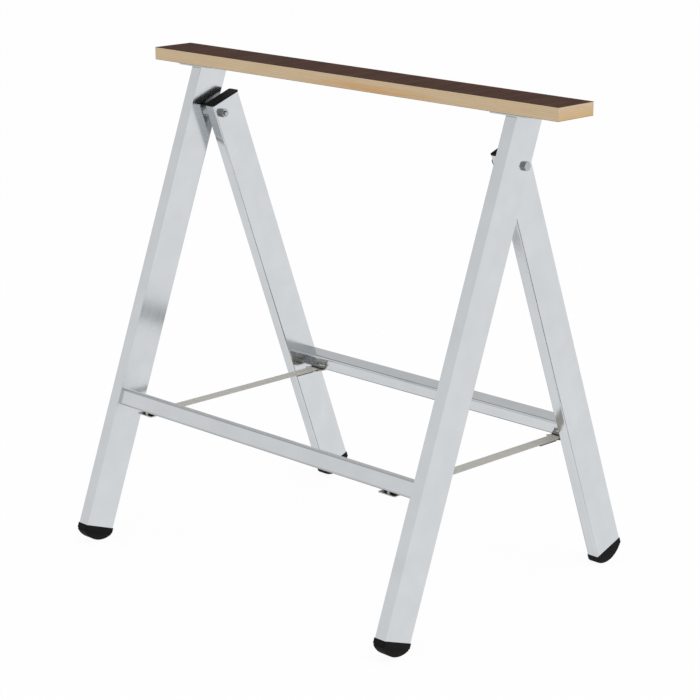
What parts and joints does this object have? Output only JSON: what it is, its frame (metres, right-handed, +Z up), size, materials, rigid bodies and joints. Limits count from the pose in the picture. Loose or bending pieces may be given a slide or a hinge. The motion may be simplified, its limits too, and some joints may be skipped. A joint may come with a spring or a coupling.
{
  "type": "folding builders trestle",
  "caption": "Folding work trestle: a film-faced plywood board on a welded tube frame, with a swing frame that opens like an A until webbing straps go tight.",
  "frame": {"origin": "on the floor, under the middle of the open trestle's bounding box", "axes": "+X along the board, +Y towards the swing frame (rear), +Z up"},
  "size_m": [0.9, 0.6002, 0.81],
  "materials": {
    "birch_plywood": "bare sawn edge, plies showing",
    "phenolic_film": "smooth dark brown film, slight sheen",
    "aluminium_plate": "mill finish",
    "zinc_screw": "zinc plated",
    "aluminium_tube": "bright extruded finish",
    "foot_plastic": "moulded, slightly satin",
    "cap_plastic": "moulded, slightly satin",
    "bolt_steel": "zinc plated",
    "sleeve_steel": "drawn tube, zinc plated",
    "webbing": "flat woven webbing",
    "plate_steel": "zinc plated",
    "stud_steel": "zinc plated"
  },
  "bodies": {
    "main_frame": {"board_core": "birch_plywood", "board_top_film": "phenolic_film", "board_bottom_film": "phenolic_film", "head_plate_left": "aluminium_plate", "head_plate_right": "aluminium_plate", "board_screws": "zinc_screw", "main_leg_left": "aluminium_tube", "main_leg_right": "aluminium_tube", "front_crossbar": "aluminium_tube", "front_foot_left": "foot_plastic", "front_foot_right": "foot_plastic", "pivot_bolt_left": "bolt_steel", "pivot_bolt_right": "bolt_steel", "pivot_nut_left": "bolt_steel", "pivot_nut_right": "bolt_steel", "spacer_bush_left": "sleeve_steel", "spacer_bush_right": "sleeve_steel", "main_sleeve_left": "sleeve_steel", "main_sleeve_right": "sleeve_steel", "strap_left": "webbing", "strap_right": "webbing", "front_strap_plate_left": "plate_steel", "front_strap_plate_right": "plate_steel", "front_strap_studs": "stud_steel"},
    "swing_frame": {"swing_leg_left": "aluminium_tube", "swing_leg_right": "aluminium_tube", "rear_crossbar": "aluminium_tube", "rear_foot_left": "foot_plastic", "rear_foot_right": "foot_plastic", "swing_cap_left": "cap_plastic", "swing_cap_right": "cap_plastic", "swing_sleeve_left": "sleeve_steel", "swing_sleeve_right": "sleeve_steel", "rear_strap_plate_left": "plate_steel", "rear_strap_plate_right": "plate_steel", "rear_strap_studs": "stud_steel"}
  },
  "joints": [
    {"name": "swing_frame_fold", "type": "hinge", "parent": "main_frame", "child": "swing_frame", "pos_m": [0, -0.00109, 0.709], "axis": [-1, 0, 0], "range_deg": [0, 40.2], "deforming": ["strap_left", "strap_right"]}
  ]
}
